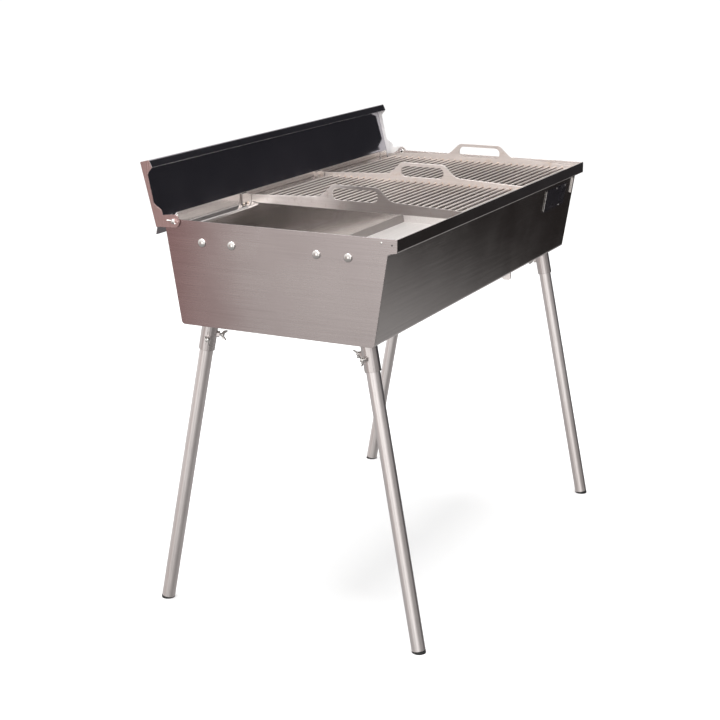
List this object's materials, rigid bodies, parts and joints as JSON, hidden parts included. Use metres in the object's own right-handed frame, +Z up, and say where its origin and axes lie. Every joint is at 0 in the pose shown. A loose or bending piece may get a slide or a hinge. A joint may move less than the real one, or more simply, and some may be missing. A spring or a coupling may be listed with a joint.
{
  "type": "charcoal spit roaster",
  "caption": "Long stainless charcoal trough on splayed clamped legs, with lift-out grates and a hinged rear wind shield, for spit roasting and grilling.",
  "frame": {"origin": "on the ground, under the middle of the trough", "axes": "+X along the trough, with the uncovered end at -X; -Y is the front wall with the name plate, +Y the wind shield's side; +Z up"},
  "size_m": [1.237, 0.7126, 1.0855],
  "materials": {
    "sheet_steel": "brushed",
    "shield_sheet": "polished",
    "grate_steel": "satin, slightly heat-stained",
    "tube_steel": "satin",
    "bright_hardware": "bright",
    "name_plate": "gloss black, blank",
    "foot_plastic": "matt black"
  },
  "bodies": {
    "firebox": {"trough_shell": "sheet_steel", "coal_tray": "sheet_steel", "end_plate_left": "sheet_steel", "end_plate_right": "sheet_steel", "backing_strip_left_front": "sheet_steel", "backing_strip_left_rear": "sheet_steel", "backing_strip_right_front": "sheet_steel", "backing_strip_right_rear": "sheet_steel", "cup_bolt_left_1": "bright_hardware", "cup_bolt_left_2": "bright_hardware", "cup_bolt_left_3": "bright_hardware", "cup_bolt_left_4": "bright_hardware", "cup_bolt_right_1": "bright_hardware", "cup_bolt_right_2": "bright_hardware", "cup_bolt_right_3": "bright_hardware", "cup_bolt_right_4": "bright_hardware", "hinge_stud_left": "bright_hardware", "hinge_stud_right": "bright_hardware", "grate_stop_1": "bright_hardware", "grate_stop_2": "bright_hardware", "grate_stop_3": "bright_hardware", "leg_socket_front_left": "tube_steel", "leg_socket_front_right": "tube_steel", "leg_socket_rear_left": "tube_steel", "leg_socket_rear_right": "tube_steel", "name_plate": "name_plate", "wall_clip": "bright_hardware", "floor_tab": "sheet_steel"},
    "wind_shield": {"wind_shield_panel": "shield_sheet", "shield_side_left": "sheet_steel", "shield_side_right": "sheet_steel"},
    "left_grate": {"left_grate_left_plate": "grate_steel", "left_grate_right_plate": "grate_steel", "left_grate_bars": "grate_steel"},
    "right_grate": {"right_grate_left_plate": "grate_steel", "right_grate_right_plate": "grate_steel", "right_grate_bars": "grate_steel"},
    "leg_front_left": {"leg_tube_front_left": "tube_steel", "foot_cap_front_left": "foot_plastic"},
    "leg_front_right": {"leg_tube_front_right": "tube_steel", "foot_cap_front_right": "foot_plastic"},
    "leg_rear_left": {"leg_tube_rear_left": "tube_steel", "foot_cap_rear_left": "foot_plastic"},
    "leg_rear_right": {"leg_tube_rear_right": "tube_steel", "foot_cap_rear_right": "foot_plastic"},
    "wing_screw_front_left_outer": {"wing_screw_front_left_outer": "bright_hardware"},
    "wing_screw_front_left_inner": {"wing_screw_front_left_inner": "bright_hardware"},
    "wing_screw_front_right_outer": {"wing_screw_front_right_outer": "bright_hardware"},
    "wing_screw_front_right_inner": {"wing_screw_front_right_inner": "bright_hardware"},
    "wing_screw_rear_left_outer": {"wing_screw_rear_left_outer": "bright_hardware"},
    "wing_screw_rear_left_inner": {"wing_screw_rear_left_inner": "bright_hardware"},
    "wing_screw_rear_right_outer": {"wing_screw_rear_right_outer": "bright_hardware"},
    "wing_screw_rear_right_inner": {"wing_screw_rear_right_inner": "bright_hardware"},
    "outer_wing_nut_left": {"outer_wing_nut_left": "bright_hardware"},
    "outer_wing_nut_right": {"outer_wing_nut_right": "bright_hardware"},
    "inner_wing_nut_left": {"inner_wing_nut_left": "bright_hardware"}
  },
  "joints": [
    {"name": "wind_shield_tilt", "type": "hinge", "parent": "firebox", "child": "wind_shield", "pos_m": [0, 0.255, 0.952], "axis": [1, 0, 0], "range_deg": [0, 112]},
    {"name": "left_grate_lift", "type": "slide", "parent": "firebox", "child": "left_grate", "axis": [0, 0, 1], "range_m": [0, 0.25]},
    {"name": "right_grate_lift", "type": "slide", "parent": "firebox", "child": "right_grate", "axis": [0, 0, 1], "range_m": [0, 0.25]},
    {"name": "leg_slide_front_left", "type": "slide", "parent": "firebox", "child": "leg_front_left", "axis": [-0.0289, -0.1887, -0.9816], "range_m": [0, 0.08]},
    {"name": "wing_screw_front_left_outer_turn", "type": "hinge", "parent": "firebox", "child": "wing_screw_front_left_outer", "pos_m": [-0.56088, -0.20746, 0.6764], "axis": [-0.9877, 0.1563, -0.0009], "continuous": true},
    {"name": "wing_screw_front_left_inner_turn", "type": "hinge", "parent": "firebox", "child": "wing_screw_front_left_inner", "pos_m": [-0.54239, -0.19294, 0.68121], "axis": [0.1536, 0.9695, -0.1909], "continuous": true},
    {"name": "leg_slide_front_right", "type": "slide", "parent": "firebox", "child": "leg_front_right", "axis": [0.0289, -0.1887, -0.9816], "range_m": [0, 0.08]},
    {"name": "wing_screw_front_right_outer_turn", "type": "hinge", "parent": "firebox", "child": "wing_screw_front_right_outer", "pos_m": [0.56088, -0.20746, 0.6764], "axis": [0.9877, 0.1563, -0.0009], "continuous": true},
    {"name": "wing_screw_front_right_inner_turn", "type": "hinge", "parent": "firebox", "child": "wing_screw_front_right_inner", "pos_m": [0.54239, -0.19294, 0.68121], "axis": [-0.1536, 0.9695, -0.1909], "continuous": true},
    {"name": "leg_slide_rear_left", "type": "slide", "parent": "firebox", "child": "leg_rear_left", "axis": [-0.0289, 0.1887, -0.9816], "range_m": [0, 0.08]},
    {"name": "wing_screw_rear_left_outer_turn", "type": "hinge", "parent": "firebox", "child": "wing_screw_rear_left_outer", "pos_m": [-0.55938, 0.20287, 0.67547], "axis": [-0.8943, -0.4435, -0.0589], "continuous": true},
    {"name": "wing_screw_rear_left_inner_turn", "type": "hinge", "parent": "firebox", "child": "wing_screw_rear_left_inner", "pos_m": [-0.5377, 0.19443, 0.68136], "axis": [0.4464, -0.8762, -0.1816], "continuous": true},
    {"name": "leg_slide_rear_right", "type": "slide", "parent": "firebox", "child": "leg_rear_right", "axis": [0.0289, 0.1887, -0.9816], "range_m": [0, 0.08]},
    {"name": "wing_screw_rear_right_outer_turn", "type": "hinge", "parent": "firebox", "child": "wing_screw_rear_right_outer", "pos_m": [0.55938, 0.20287, 0.67547], "axis": [0.8943, -0.4435, -0.0589], "continuous": true},
    {"name": "wing_screw_rear_right_inner_turn", "type": "hinge", "parent": "firebox", "child": "wing_screw_rear_right_inner", "pos_m": [0.5377, 0.19443, 0.68136], "axis": [-0.4464, -0.8762, -0.1816], "continuous": true},
    {"name": "outer_wing_nut_left_turn", "type": "hinge", "parent": "firebox", "child": "outer_wing_nut_left", "pos_m": [0, 0.255, 0.952], "axis": [-1, 0, 0], "continuous": true},
    {"name": "outer_wing_nut_right_turn", "type": "hinge", "parent": "firebox", "child": "outer_wing_nut_right", "pos_m": [0, 0.255, 0.952], "axis": [1, 0, 0], "continuous": true},
    {"name": "inner_wing_nut_left_turn", "type": "hinge", "parent": "firebox", "child": "inner_wing_nut_left", "pos_m": [0, 0.255, 0.952], "axis": [1, 0, 0], "continuous": true}
  ]
}
